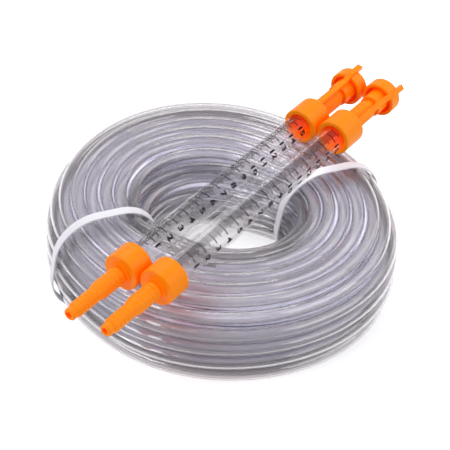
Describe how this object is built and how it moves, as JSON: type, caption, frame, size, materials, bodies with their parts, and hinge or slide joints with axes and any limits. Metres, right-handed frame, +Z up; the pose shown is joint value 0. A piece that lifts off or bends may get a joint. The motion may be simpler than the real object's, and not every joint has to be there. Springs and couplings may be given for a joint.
{
  "type": "water level",
  "caption": "Water level for setting out heights: clear hose coiled and strapped, with graduated clear vials on top that have ribbed hose barbs and push-on caps",
  "frame": {"origin": "middle of the overall box in X and Y, on the surface that the coil stands on", "axes": "X along the vials towards their caps, Y across the vials towards the left one, Z up"},
  "size_m": [0.285, 0.2291, 0.083],
  "materials": {
    "clear_hose": "clear soft PVC",
    "white_strap": "smooth",
    "clear_vial": "clear hard plastic",
    "orange_plastic": "moulded, semi-gloss"
  },
  "bodies": {
    "coil": {"hose_coil": "clear_hose", "hose_inner_turns": "clear_hose", "hose_last_end": "clear_hose", "hose_first_end": "clear_hose", "left_strap": "white_strap", "right_strap": "white_strap"},
    "left_vial": {"left_tube": "clear_vial", "left_hose_fitting": "orange_plastic", "left_neck_fitting": "orange_plastic"},
    "right_vial": {"right_tube": "clear_vial", "right_hose_fitting": "orange_plastic", "right_neck_fitting": "orange_plastic"},
    "left_closure": {"left_cap": "orange_plastic"},
    "right_closure": {"right_cap": "orange_plastic"}
  },
  "joints": [
    {"name": "left_lift", "type": "slide", "parent": "coil", "child": "left_vial", "axis": [0, 0, 1], "range_m": [0, 0.12]},
    {"name": "right_lift", "type": "slide", "parent": "coil", "child": "right_vial", "axis": [0, 0, 1], "range_m": [0, 0.12]},
    {"name": "left_cap_pull", "type": "slide", "parent": "left_vial", "child": "left_closure", "axis": [1, 0, 0], "range_m": [0, 0.03]},
    {"name": "right_cap_pull", "type": "slide", "parent": "right_vial", "child": "right_closure", "axis": [1, 0, 0], "range_m": [0, 0.03]}
  ]
}
